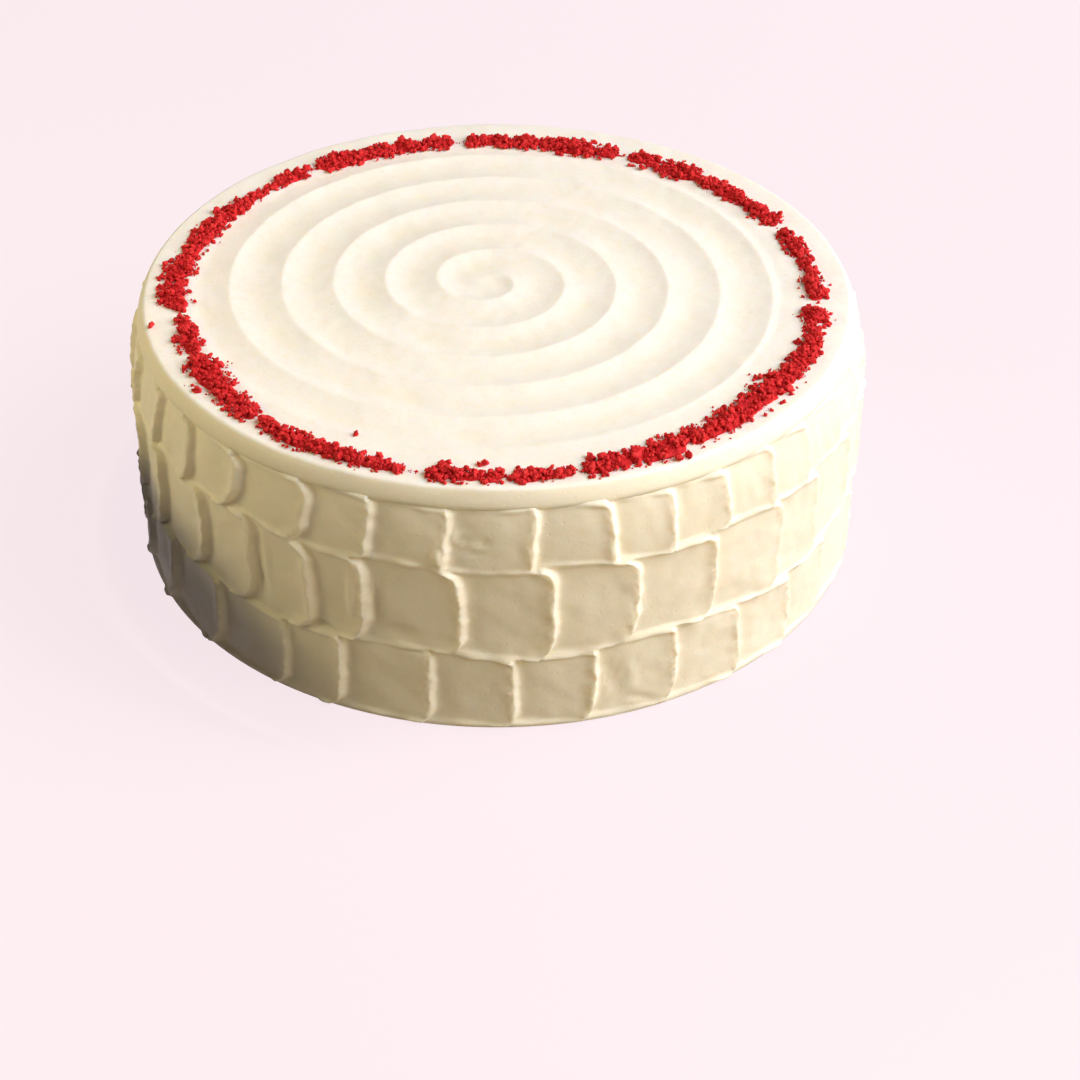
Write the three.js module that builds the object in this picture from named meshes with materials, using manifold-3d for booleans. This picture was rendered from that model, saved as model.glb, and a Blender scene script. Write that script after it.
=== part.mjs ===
// A round red velvet cake under pale icing, in millimetres, +Z up, standing on z = 0 round the Z axis.
// The icing on the side is pressed into petals in three tiers: each petal is a shallow tray that
// rises to a thick lip at its right end and steps down there onto the next one. The icing on top is
// one spiral of shallow grooves that meet in ridges, and a ring of crumbs lies near the rim.
// Angles are in degrees, anticlockwise from +X seen from above; -90 is the front.
import * as THREE from 'three';
import Module from 'manifold-3d';
import { mergeVertices } from 'three/addons/utils/BufferGeometryUtils.js';

const wasm = await Module();
wasm.setup();

// ---- Driving dimensions ----

const TOP_LEVEL = 75.3; // the flat icing between the spiral and the rim
const FOOT_RADIUS = 105.4; // hollow of a petal at the foot of the cake
const LEAN = 1.2; // how much narrower the side is just below the shoulder
const SHOULDER = { start: 52, end: 70, roundedIn: 2.6 };
const RIM = { radius: 101.5, rounding: 1.5, corners: 60, arcAngles: [0, 30, 60, 90] };
const BASE = { radius: 106.2, innerRadius: 60, innerCorners: 24 };

// Borders between the tiers of petals, from the top down: level lines with slow waves.
const BORDERS = [
  { level: 69.8, depth: 0.6, waves: 11, phase: 257 },
  { level: 52.4, depth: 0.8, waves: 14, phase: 120 },
  { level: 24.8, depth: 1.2, waves: 9, phase: -54 },
  { level: 1, depth: 0, waves: 0, phase: 0 },
];
const BORDER_RIDGE = { height: 0.45, width: 0.75, halfLand: 0.3 };

// Petals: the lips round the front one by one, and the rest spaced by a seeded rule. The rounded
// corners at the top and the bottom of a lip reach this far across and up, times the lip's own size.
const TIERS = [
  {
    seed: 101,
    frontLips: [-142, -131, -118.5, -108.8, -97.6, -85.2, -73.9, -64.5, -55.3, -46.2],
    topCorner: { across: 2.4, up: 2.2, frontSizes: [1.9, 1.9, 2, 1, 0.7, 0.7, 0.8, 0.9, 1, 1] },
    bottomCorner: { across: 2.8, up: 5, frontSizes: [2, 2.1, 2.2, 0.6, 0.2, 0.2, 0.4, 0.7, 0.8, 0.8] },
  },
  {
    seed: 202,
    frontLips: [-151.5, -139, -128.5, -118, -109.5, -95.4, -82.3, -70, -57.4, -44.2],
    topCorner: { across: 5.2, up: 4.8, frontSizes: [1.1, 1.1, 1.1, 1.1, 1, 1, 1, 1, 1, 1] },
    bottomCorner: { across: 5.4, up: 8, frontSizes: [1.2, 1.3, 1.2, 1.2, 1, 1, 1, 1.1, 1, 1] },
  },
  {
    seed: 303,
    frontLips: [-149.5, -136.5, -123, -113.5, -99.9, -87.9, -76.2, -63.6, -52.2, -41],
    topCorner: { across: 1.8, up: 2.4, frontSizes: [1.3, 1.2, 1.1, 1, 0.8, 0.8, 1, 1.2, 1, 1] },
    bottomCorner: { across: 4.2, up: 8, frontSizes: [1.3, 1.2, 1.1, 1, 0.8, 0.8, 1, 1.2, 1, 1] },
  },
];
const WIDTH_SPREAD = 0.17; // unevenness of the widths of the seeded petals
const PETAL_RISE = { left: 0.1, right: 1.65 }; // a petal's panel, before its lip
const LIP = { height: 2.3, heightSpread: 0.35, fall: 1.7, sharpness: 2.4, step: 1.8 };
const LIP_CORNER = { sizeSpread: 0.4, dip: 0.3, dipReach: 1.3 };
const LIP_SLANT = 1.1; // most that a lip leans over the height of its tier
const LIP_COLUMNS = { shoulder: 1.5, foot: 4.5 }; // mesh columns left of a lip
const PETAL_ROWS = [BORDER_RIDGE.halfLand, 1.7, 5]; // mesh rows from a tier's borders

const SPIRAL = {
  centre: [-2.9, 1.3],
  startRadius: 81.5, // of the ridge at angle 0
  startAngle: -40,
  endAngle: 1700,
  pitch: 14.9, // inwards for each turn anticlockwise
  depth: 0.75, // of a groove below its ridges
  ridgeHeight: 0.2, // of a ridge above the flat icing
  columns: 36,
  grooveRows: [0.2, 0.5, 0.8], // shares of the way from one ridge to the next
  innermost: 3.7, // radius of the last point before the centre
  centreDepth: 0.4, // below the flat icing
};
// Outside the first ridge the icing dips once more and rises to the flat icing on this circle.
const OUTER_DIP = { centre: [-1.2, -0.7], radius: 81.6, place: 1 / 3, depthShare: 0.5 };

// The crumb ring: a ragged bed of packed crumbs, and the largest crumbs lying on and beside it.
// Its middle radius and half width run evenly from each of these angles to the next.
const CRUMB_RING = [
  { angle: 8, radius: 90.5, halfWidth: 2.6 },
  { angle: 36, radius: 89, halfWidth: 3.2 },
  { angle: 54, radius: 88.4, halfWidth: 4.4 },
  { angle: 72, radius: 87.4, halfWidth: 4.1 },
  { angle: 84, radius: 87.6, halfWidth: 3.3 },
  { angle: 105, radius: 88.8, halfWidth: 3 },
  { angle: 120, radius: 89.4, halfWidth: 4.8 },
  { angle: 138, radius: 90.2, halfWidth: 2.3 },
  { angle: 165, radius: 90.9, halfWidth: 3.6 },
  { angle: 183, radius: 93, halfWidth: 4.6 },
  { angle: 193, radius: 90.1, halfWidth: 2.6 },
  { angle: 214, radius: 91.6, halfWidth: 4.8 },
  { angle: 226, radius: 93.8, halfWidth: 3.1 },
  { angle: 250, radius: 95.6, halfWidth: 2.8 },
  { angle: 273, radius: 96.1, halfWidth: 2.4 },
  { angle: 294, radius: 94.4, halfWidth: 4.1 },
  { angle: 324, radius: 91.5, halfWidth: 4.7 },
  { angle: 337, radius: 93, halfWidth: 3 },
  { angle: 349, radius: 90.7, halfWidth: 3.4 },
];
const RING_WAVES = [
  { waves: 13, depth: 0.35, phase: 200 },
  { waves: 29, depth: 0.45, phase: 80 },
];
// Gaps and notches, where the ring narrows to this share of its width.
const RING_GAPS = [
  { angles: [21, 63, 98, 130, 190.5, 257.5, 352.5], halfAngle: 1.6, width: 0.25 },
  { angles: [45, 112, 205, 228, 271, 282.5, 301], halfAngle: 0.8, width: 0.5 },
];
const CRUMB_BED = {
  columns: 236,
  rows: [-1, -0.6, -0.2, 0.2, 0.6, 1], // across the bed, in half widths
  lowest: 0.3,
  highest: 2.3,
  fullHalfWidth: 3.2, // half width from which the bed has its full height
  rimGap: 0.4,
  shift: 0.55,
  seed: 17,
};
const LARGE_CRUMBS = { count: 18, largest: 2.4, smallest: 2, level: 1, across: 0.5, seed: 7 };
const STRAY_CRUMBS = {
  count: 26,
  largest: 1.7,
  smallest: 1,
  level: 0.3,
  nearest: 0.6,
  furthest: 2.6,
  outsideShare: 0.6,
  seed: 29,
};
const CRUMB_SHAPE = { breadth: 0.8, flatness: 0.7, jitter: 0.24 };

const ICING = { color: 0xf5ead6, roughness: 0.55, metalness: 0 };

// ---- Helpers ----

const { degToRad, radToDeg, lerp } = THREE.MathUtils;
const FULL_TURN = 360;
const bell = (distance, width) => Math.exp(-((distance / width) ** 2));

// The minimal standard generator: each call gives a number between 0 and 1.
function seededRandom(seed) {
  const multiplier = 16807;
  const modulus = 2147483647;
  let state = seed;
  return () => {
    state = (state * multiplier) % modulus;
    return state / modulus;
  };
}

// A seeded draw between -size and +size.
const spreadDraw = (random, size) => (2 * random() - 1) * size;

// A closed surface in the making.
class Skin {
  constructor() {
    this.points = [];
    this.triangles = [];
  }

  point(x, y, z) {
    this.points.push(new THREE.Vector3(x, y, z));
    return this.points.length - 1;
  }

  polar(radius, angle, z, centre = [0, 0]) {
    const turn = degToRad(angle);
    return this.point(centre[0] + radius * Math.cos(turn), centre[1] + radius * Math.sin(turn), z);
  }

  ring(radius, z, corners, centre) {
    const step = FULL_TURN / corners;
    return Array.from({ length: corners }, (_, i) => this.polar(radius, step * i, z, centre));
  }

  distance(a, b) {
    return this.points[a].distanceTo(this.points[b]);
  }

  // Joins two lines of points that run side by side, each time by the shorter diagonal.
  zip(first, second) {
    let i = 0;
    let j = 0;
    while (i < first.length - 1 || j < second.length - 1) {
      const firstStep = i + 1 < first.length ? this.distance(first[i + 1], second[j]) : Infinity;
      const secondStep = j + 1 < second.length ? this.distance(first[i], second[j + 1]) : Infinity;
      if (firstStep <= secondStep) {
        this.triangles.push(first[i], first[i + 1], second[j]);
        i += 1;
      } else {
        this.triangles.push(first[i], second[j + 1], second[j]);
        j += 1;
      }
    }
  }

  // The same for two closed rings; the second is turned to start where the first does.
  zipRings(first, second) {
    const reaches = second.map((corner) => this.distance(first[0], corner));
    const start = reaches.indexOf(Math.min(...reaches));
    const turned = [...second.slice(start), ...second.slice(0, start)];
    this.zip([...first, first[0]], [...turned, turned[0]]);
  }

  // Two rings that share their columns.
  band(first, second) {
    first.forEach((corner, i) => {
      const next = (i + 1) % first.length;
      this.triangles.push(corner, first[next], second[next]);
      this.triangles.push(corner, second[next], second[i]);
    });
  }

  geometry() {
    const geometry = new THREE.BufferGeometry().setFromPoints(this.points);
    geometry.setIndex(this.triangles);
    return geometry;
  }
}

// ---- Side: three tiers of petals ----

function lipAngles({ frontLips }, random) {
  const last = frontLips.at(-1);
  const frontSpan = last - frontLips[0];
  const meanWidth = frontSpan / (frontLips.length - 1);
  const hiddenSpan = FULL_TURN - frontSpan;
  const length = Math.round(hiddenSpan / meanWidth);
  const shares = Array.from({ length }, () => 1 + spreadDraw(random, WIDTH_SPREAD));
  const total = shares.reduce((sum, share) => sum + share, 0);
  const hiddenLips = [];
  let angle = last;
  for (const share of shares.slice(0, -1)) {
    angle += (hiddenSpan * share) / total;
    hiddenLips.push(angle);
  }
  return [...frontLips, ...hiddenLips];
}

function makeTier(index) {
  const { seed, topCorner, bottomCorner } = TIERS[index];
  const random = seededRandom(seed);
  const petals = lipAngles(TIERS[index], random).map((angle, place) => ({
    angle,
    place,
    cornerSize: 1 + spreadDraw(random, LIP_CORNER.sizeSpread),
    height: LIP.height + spreadDraw(random, LIP.heightSpread),
    slant: spreadDraw(random, LIP_SLANT),
  }));
  const top = BORDERS[index];
  const bottom = BORDERS[index + 1];
  const middle = (top.level + bottom.level) / 2;
  return { petals, topCorner, bottomCorner, top, bottom, middle, height: top.level - bottom.level };
}

const borderLevel = (border, angle) =>
  border.level + border.depth * Math.sin(degToRad(border.waves * angle + border.phase));

// Radius of the hollows at a height: a slight lean, then the rounded shoulder.
function hollowRadius(z) {
  const shoulder = Math.max(0, z - SHOULDER.start) / (SHOULDER.end - SHOULDER.start);
  return FOOT_RADIUS - (LEAN * z) / SHOULDER.end - SHOULDER.roundedIn * shoulder ** 2;
}

// Icing over the hollow, `left` mm left of the lip of a petal `width` mm wide, `edge` mm from a border.
function petalRelief(petal, left, width, edge) {
  const panel = lerp(PETAL_RISE.right, PETAL_RISE.left, left / width);
  const lip = (petal.height - panel) / (1 + (left / LIP.fall) ** LIP.sharpness);
  const dipped = (panel + lip) * (1 - LIP_CORNER.dip * bell(edge, LIP_CORNER.dipReach));
  return dipped + BORDER_RIDGE.height * bell(edge - BORDER_RIDGE.halfLand, BORDER_RIDGE.width);
}

// How far left a lip's rounded corner has turned, `edge` mm from a border: a quarter of an ellipse.
function cornerTurn(corner, petal, edge) {
  const size = corner.frontSizes[petal.place] ?? petal.cornerSize;
  const share = Math.max(0, 1 - edge / (corner.up * size));
  return corner.across * size * (1 - Math.sqrt(1 - share ** 2));
}

// A ring of one tier, `edge` mm above its bottom border (side 1) or below its top one (side -1).
function petalRing(skin, tier, edge, side) {
  const border = side > 0 ? tier.bottom : tier.top;
  const corner = side > 0 ? tier.bottomCorner : tier.topCorner;
  const rise = (border.level + side * edge - tier.middle) / tier.height;
  const lipLine = (petal) => petal.angle + petal.slant * rise;
  const degrees = radToDeg(1 / hollowRadius(border.level));
  return tier.petals.flatMap((petal, k) => {
    const before = tier.petals.at(k - 1);
    const start = lipLine(before) - (k === 0 ? FULL_TURN : 0);
    const end = lipLine(petal);
    const width = (end - start) / degrees;
    const turn = cornerTurn(corner, petal, edge);
    const turnBefore = cornerTurn(corner, before, edge);
    const columns = [
      { fromLip: width - LIP.step, turned: turnBefore },
      { fromLip: LIP_COLUMNS.foot, turned: lerp(turnBefore, turn, 1 - LIP_COLUMNS.foot / width) },
      { fromLip: LIP_COLUMNS.shoulder, turned: turn },
      { fromLip: 0, turned: turn },
    ];
    return columns.map(({ fromLip, turned }) => {
      const angle = end - (fromLip + turned) * degrees;
      const z = borderLevel(border, angle) + side * edge;
      return skin.polar(hollowRadius(z) + petalRelief(petal, fromLip, width, edge), angle, z);
    });
  });
}

// The rings of a tier from the bottom up.
function tierRings(skin, index) {
  const tier = makeTier(index);
  const rising = PETAL_ROWS.map((edge) => petalRing(skin, tier, edge, 1));
  const falling = PETAL_ROWS.map((edge) => petalRing(skin, tier, edge, -1));
  return [...rising, ...falling.reverse()];
}

function addSide(skin) {
  const tiers = TIERS.map((_, index) => tierRings(skin, index)).reverse();
  for (const rings of tiers) {
    rings.slice(1).forEach((ring, i) => skin.band(rings[i], ring));
  }
  tiers.slice(1).forEach((rings, i) => skin.zipRings(tiers[i].at(-1), rings[0]));
  return { lowest: tiers[0][0], highest: tiers.at(-1).at(-1) };
}

// ---- Flat underside ----

function addUnderside(skin, lowestRing) {
  const centre = skin.point(0, 0, 0);
  const inner = skin.ring(BASE.innerRadius, 0, BASE.innerCorners);
  const outer = lowestRing.map((corner) => {
    const { x, y } = skin.points[corner];
    return skin.polar(BASE.radius, radToDeg(Math.atan2(y, x)), 0);
  });
  skin.zip([centre], [...inner, inner[0]]);
  skin.zipRings(inner, outer);
  skin.band(outer, lowestRing);
}

// ---- Rounded rim and spiral top ----

function addRim(skin, highestRing) {
  const centreRadius = RIM.radius - RIM.rounding;
  const rings = RIM.arcAngles.map((arcAngle) => {
    const arc = degToRad(arcAngle);
    const radius = centreRadius + RIM.rounding * Math.cos(arc);
    return skin.ring(radius, TOP_LEVEL - RIM.rounding * (1 - Math.sin(arc)), RIM.corners);
  });
  skin.zipRings(highestRing, rings[0]);
  rings.slice(1).forEach((ring, i) => skin.band(rings[i], ring));
  return rings.at(-1);
}

const ridgeRadius = (angle) => SPIRAL.startRadius - (SPIRAL.pitch * angle) / FULL_TURN;

// Height of the spiral over the flat icing, at a share of the way from one ridge to the next.
function grooveHeight(share) {
  const fromMiddle = Math.abs(2 * share - 1);
  return SPIRAL.ridgeHeight - SPIRAL.depth * (1 - fromMiddle ** 2);
}

// The points of the spiral at one angle, from the outer ridge in to the centre.
function spiralColumn(skin, firstAngle, centrePoint) {
  const column = [];
  for (let angle = firstAngle; angle <= SPIRAL.endAngle; angle += FULL_TURN) {
    for (const share of [0, ...SPIRAL.grooveRows]) {
      const radius = ridgeRadius(angle) - share * SPIRAL.pitch;
      if (radius > SPIRAL.innermost) {
        column.push(skin.polar(radius, angle, TOP_LEVEL + grooveHeight(share), SPIRAL.centre));
      }
    }
  }
  return [...column, centrePoint];
}

// The crumb ring's middle radius and half width at an angle between 0 and 360.
function ringAt(angle) {
  const next = CRUMB_RING.findIndex((place) => place.angle > angle);
  const end = CRUMB_RING.at(Math.max(next, 0));
  const start = CRUMB_RING.at(Math.max(next, 0) - 1);
  const span = (end.angle - start.angle + FULL_TURN) % FULL_TURN;
  const share = ((angle - start.angle + FULL_TURN) % FULL_TURN) / span;
  return {
    radius: lerp(start.radius, end.radius, share),
    halfWidth: lerp(start.halfWidth, end.halfWidth, share),
  };
}

// Half the width of the crumb ring at an angle, narrow at its gaps and notches.
function ringHalfWidth(angle) {
  const waves = RING_WAVES.map((wave) => wave.depth * Math.sin(degToRad(wave.waves * angle + wave.phase)));
  const width = waves.reduce((sum, wave) => sum + wave, ringAt(angle).halfWidth);
  const gap = RING_GAPS.find(({ angles, halfAngle }) =>
    angles.some((middle) => Math.abs(middle - angle) < halfAngle),
  );
  return gap ? width * gap.width : width;
}

// The bed of packed crumbs as rings of bumps, from the outer edge in.
function bedRings(skin) {
  const random = seededRandom(CRUMB_BED.seed);
  const rings = CRUMB_BED.rows.map(() => []);
  const outermost = RIM.radius - RIM.rounding - CRUMB_BED.rimGap;
  for (let column = 0; column < CRUMB_BED.columns; column += 1) {
    const angle = (FULL_TURN * column) / CRUMB_BED.columns;
    const halfWidth = ringHalfWidth(angle);
    CRUMB_BED.rows.forEach((across, row) => {
      const atEdge = Math.abs(across) === 1;
      const bump = lerp(CRUMB_BED.lowest, CRUMB_BED.highest, random());
      const height = atEdge ? 0 : bump * Math.min(1, halfWidth / CRUMB_BED.fullHalfWidth);
      const radius = ringAt(angle).radius - across * halfWidth + spreadDraw(random, CRUMB_BED.shift);
      rings[row].push(skin.polar(Math.min(radius, outermost), angle, TOP_LEVEL + height));
    });
  }
  return rings;
}

// All the points at one angle from the flat icing in to the centre.
function topColumn(skin, angle, centrePoint) {
  const edge = skin.polar(OUTER_DIP.radius, angle, TOP_LEVEL, OUTER_DIP.centre);
  const column = spiralColumn(skin, angle, centrePoint);
  const gap = skin.distance(edge, column[0]);
  const { x, y } = skin.points[column[0]].clone().lerp(skin.points[edge], OUTER_DIP.place);
  const dip = skin.point(x, y, TOP_LEVEL - (OUTER_DIP.depthShare * SPIRAL.depth * gap) / SPIRAL.pitch);
  return [edge, dip, ...column];
}

function addTop(skin, rimRing) {
  const bed = bedRings(skin);
  skin.zipRings(rimRing, bed[0]);
  bed.slice(1).forEach((ring, i) => skin.band(bed[i], ring));
  const centrePoint = skin.point(...SPIRAL.centre, TOP_LEVEL - SPIRAL.centreDepth);
  const columns = Array.from({ length: SPIRAL.columns }, (_, i) =>
    topColumn(skin, SPIRAL.startAngle + (FULL_TURN * i) / SPIRAL.columns, centrePoint),
  );
  skin.zipRings(bed.at(-1), columns.map((column) => column[0]));
  columns.forEach((column, i) => skin.zip(columns[(i + 1) % columns.length], column));
}

// ---- Loose crumbs fused to the top ----

function solidFrom(geometry) {
  const mesh = new wasm.Mesh({
    numProp: 3,
    vertProperties: new Float32Array(geometry.attributes.position.array),
    triVerts: new Uint32Array(geometry.index.array),
  });
  return new wasm.Manifold(mesh);
}

// An uneven lump, `size` mm from its middle to its ends, narrower across and flatter upwards.
function crumbGeometry(size, random) {
  const ball = new THREE.IcosahedronGeometry(1, 0);
  ball.deleteAttribute('normal');
  ball.deleteAttribute('uv');
  const lump = mergeVertices(ball);
  const corners = lump.attributes.position;
  for (let i = 0; i < corners.count; i += 1) {
    const bulge = 1 + spreadDraw(random, CRUMB_SHAPE.jitter);
    corners.setXYZ(i, corners.getX(i) * bulge, corners.getY(i) * bulge, corners.getZ(i) * bulge);
  }
  lump.rotateX(spreadDraw(random, Math.PI));
  lump.scale(size, size * CRUMB_SHAPE.breadth, size * CRUMB_SHAPE.flatness);
  lump.rotateZ(spreadDraw(random, Math.PI));
  return lump;
}

function placedCrumb(kind, random, angle, radius) {
  const lump = crumbGeometry(lerp(kind.smallest, kind.largest, random()), random);
  const turn = degToRad(angle);
  lump.translate(radius * Math.cos(turn), radius * Math.sin(turn), TOP_LEVEL + kind.level);
  return lump;
}

const spreadAngles = (length, random) =>
  Array.from({ length }, (_, i) => (FULL_TURN * (i + random())) / length);

// The largest crumbs of the bed, spread evenly round it.
function largeCrumbs() {
  const random = seededRandom(LARGE_CRUMBS.seed);
  return spreadAngles(LARGE_CRUMBS.count, random).map((angle) => {
    const across = spreadDraw(random, LARGE_CRUMBS.across);
    return placedCrumb(LARGE_CRUMBS, random, angle, ringAt(angle).radius + across * ringHalfWidth(angle));
  });
}

// Crumbs that fell beside the bed, outside it only where the flat icing has room for them.
function strayCrumbs() {
  const random = seededRandom(STRAY_CRUMBS.seed);
  return spreadAngles(STRAY_CRUMBS.count, random).map((angle) => {
    const gap = lerp(STRAY_CRUMBS.nearest, STRAY_CRUMBS.furthest, random());
    const { radius } = ringAt(angle);
    const offset = ringHalfWidth(angle) + gap;
    const room = RIM.radius - RIM.rounding - STRAY_CRUMBS.largest - radius;
    const goesOutside = random() < STRAY_CRUMBS.outsideShare && offset < room;
    return placedCrumb(STRAY_CRUMBS, random, angle, radius + (goesOutside ? offset : -offset));
  });
}

// ---- The part ----

function icedBody() {
  const skin = new Skin();
  const { lowest, highest } = addSide(skin);
  addUnderside(skin, lowest);
  addTop(skin, addRim(skin, highest));
  return skin.geometry();
}

function cakeGeometry() {
  const crumbs = [...largeCrumbs(), ...strayCrumbs()];
  const solid = crumbs.reduce((cake, crumb) => cake.add(solidFrom(crumb)), solidFrom(icedBody()));
  const mesh = solid.getMesh();
  const geometry = new THREE.BufferGeometry();
  geometry.setAttribute('position', new THREE.BufferAttribute(mesh.vertProperties, 3));
  geometry.setIndex(new THREE.BufferAttribute(mesh.triVerts, 1));
  geometry.computeVertexNormals();
  return geometry;
}

function makeCake() {
  const icing = new THREE.MeshStandardMaterial(ICING);
  const cake = new THREE.Mesh(cakeGeometry(), icing);
  cake.name = 'iced_cake';
  return cake;
}

const part = new THREE.Group();
part.add(makeCake());

export default part;
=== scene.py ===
"""Looks of a round red velvet cake: pale icing pressed into petals round the side, a shallow spiral on
top and a ring of red crumbs near the rim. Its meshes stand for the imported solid, node iced_cake, and
repeat its sizes and its seeded draws, in millimetres until a piece is made. +Z is up, and angles are in
degrees, anticlockwise from +X seen from above; -90 is the front."""

import math

import bmesh
import bpy
import numpy as np
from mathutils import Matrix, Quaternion, Vector


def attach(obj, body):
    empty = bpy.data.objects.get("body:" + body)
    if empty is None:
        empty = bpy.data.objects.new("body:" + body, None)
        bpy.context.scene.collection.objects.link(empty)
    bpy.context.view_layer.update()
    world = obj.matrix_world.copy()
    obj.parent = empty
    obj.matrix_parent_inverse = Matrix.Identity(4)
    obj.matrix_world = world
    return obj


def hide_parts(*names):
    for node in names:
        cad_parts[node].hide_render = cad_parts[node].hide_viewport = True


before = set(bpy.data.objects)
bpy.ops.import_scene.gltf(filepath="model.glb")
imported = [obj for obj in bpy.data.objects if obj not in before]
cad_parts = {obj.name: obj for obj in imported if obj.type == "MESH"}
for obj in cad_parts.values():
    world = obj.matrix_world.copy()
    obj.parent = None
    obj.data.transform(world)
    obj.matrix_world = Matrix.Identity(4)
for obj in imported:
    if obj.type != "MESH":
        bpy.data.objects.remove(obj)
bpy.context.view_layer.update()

MM = 0.001
FULL_TURN = 360.0
HALF_TURN = 180.0
QUARTER_TURN = 90.0
NODE = "iced_cake"

# ---- Sizes shared with the solid ----

TOP_LEVEL = 75.3
FOOT_RADIUS = 105.4
LEAN = 1.2
SHOULDER = {"start": 52.0, "end": 70.0, "rounded_in": 2.6}
RIM = {"radius": 101.5, "rounding": 1.5}
BASE_RADIUS = 106.2
# Borders between the tiers of petals, from the top down: level lines with slow waves.
BORDERS = [
    {"level": 69.8, "depth": 0.6, "waves": 11, "phase": 257},
    {"level": 52.4, "depth": 0.8, "waves": 14, "phase": 120},
    {"level": 24.8, "depth": 1.2, "waves": 9, "phase": -54},
    {"level": 1.0, "depth": 0.0, "waves": 0, "phase": 0},
]
# Petals: the lips round the front one by one, and the rest spaced by a seeded rule. The rounded
# corners at the top and the bottom of a lip reach this far across and up, times the lip's own size.
TIERS = [
    {
        "seed": 101,
        "lips": [-142, -131, -118.5, -108.8, -97.6, -85.2, -73.9, -64.5, -55.3, -46.2],
        "top": {"across": 2.4, "up": 2.2, "sizes": [1.9, 1.9, 2, 1, 0.7, 0.7, 0.8, 0.9, 1, 1]},
        "bottom": {"across": 2.8, "up": 5, "sizes": [2, 2.1, 2.2, 0.6, 0.2, 0.2, 0.4, 0.7, 0.8, 0.8]},
    },
    {
        "seed": 202,
        "lips": [-151.5, -139, -128.5, -118, -109.5, -95.4, -82.3, -70, -57.4, -44.2],
        "top": {"across": 5.2, "up": 4.8, "sizes": [1.1, 1.1, 1.1, 1.1, 1, 1, 1, 1, 1, 1]},
        "bottom": {"across": 5.4, "up": 8, "sizes": [1.2, 1.3, 1.2, 1.2, 1, 1, 1, 1.1, 1, 1]},
    },
    {
        "seed": 303,
        "lips": [-149.5, -136.5, -123, -113.5, -99.9, -87.9, -76.2, -63.6, -52.2, -41],
        "top": {"across": 1.8, "up": 2.4, "sizes": [1.3, 1.2, 1.1, 1, 0.8, 0.8, 1, 1.2, 1, 1]},
        "bottom": {"across": 4.2, "up": 8, "sizes": [1.3, 1.2, 1.1, 1, 0.8, 0.8, 1, 1.2, 1, 1]},
    },
]
WIDTH_SPREAD = 0.17  # unevenness of the widths of the seeded petals
PETAL_RISE = {"left": 0.1, "right": 1.65}  # a petal's panel, before its lip
LIP = {"height": 2.3, "height_spread": 0.35, "fall": 1.7, "sharpness": 2.4}
LIP_CORNER = {"size_spread": 0.4, "dip": 0.3, "dip_reach": 1.3}
LIP_SLANT = 1.1  # most that a lip leans over the height of its tier
BORDER_RIDGE = {"width": 0.75, "half_land": 0.3}
SPIRAL = {
    "centre": (-2.9, 1.3),
    "start_radius": 81.5,  # of the ridge at angle 0
    "pitch": 14.9,  # inwards for each turn anticlockwise
    "depth": 0.75,  # of a groove below its ridges
    "ridge_height": 0.2,  # of a ridge above the flat icing
    "centre_depth": 0.4,  # below the flat icing
}
# Middle radius and half width of the crumb ring at these angles.
CRUMB_RING = [
    {"angle": 8, "radius": 90.5, "half_width": 2.6},
    {"angle": 36, "radius": 89, "half_width": 3.2},
    {"angle": 54, "radius": 88.4, "half_width": 4.4},
    {"angle": 72, "radius": 87.4, "half_width": 4.1},
    {"angle": 84, "radius": 87.6, "half_width": 3.3},
    {"angle": 105, "radius": 88.8, "half_width": 3},
    {"angle": 120, "radius": 89.4, "half_width": 4.8},
    {"angle": 138, "radius": 90.2, "half_width": 2.3},
    {"angle": 165, "radius": 90.9, "half_width": 3.6},
    {"angle": 183, "radius": 93, "half_width": 4.6},
    {"angle": 193, "radius": 90.1, "half_width": 2.6},
    {"angle": 214, "radius": 91.6, "half_width": 4.8},
    {"angle": 226, "radius": 93.8, "half_width": 3.1},
    {"angle": 250, "radius": 95.6, "half_width": 2.8},
    {"angle": 273, "radius": 96.1, "half_width": 2.4},
    {"angle": 294, "radius": 94.4, "half_width": 4.1},
    {"angle": 324, "radius": 91.5, "half_width": 4.7},
    {"angle": 337, "radius": 93, "half_width": 3},
    {"angle": 349, "radius": 90.7, "half_width": 3.4},
]
RING_WAVES = [(13, 0.35, 200), (29, 0.45, 80)]  # waves, depth, phase

# ---- Finer sizes of the looks ----

# Right of a lip the icing steps down to the next petal over this width, into a slight hollow.
STEP_WIDTH = 2.0
STEP_HOLLOW = {"depth": 0.2, "place": 3.0, "width": 1.6}
# Mesh columns of a petal: mm right of the lip before it, a number between, and mm left of its own lip.
COLUMNS = {
    "after": [0.25, 0.5, 0.8, 1.15, 1.55, 2.0, 2.6, 3.4],
    "between": 9,
    "before": [4.9, 4.1, 3.3, 2.6, 2.0, 1.5, 1.1, 0.75, 0.4, 0.0],
}
# Mesh rows of a tier: mm from its borders, and about how far apart between those.
ROWS = {"near": [0.3, 0.6, 0.95, 1.35, 1.8, 2.4, 3.1, 4.0, 5.0], "step": 0.9}
TURN_FADE = (2.0, 9.5)  # mm from a lip over which the columns stop following its corners
SLOPE_STEP = 0.1  # mm up and down between which a corner's slope is measured
STEEPEST_TURN = 2.2  # mm across for 1 mm up, where a lip's corner is taken as steepest
# Unevenness along the lips' lines: mm, the share and wavelength of each layer, and how far apart in it
# the lips are read, so that no two are alike.
LIP_WOBBLE = {"size": 0.15, "layers": [(1.0, 7), (0.6, 2.6)], "lip_spacing": 50.0}
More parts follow.
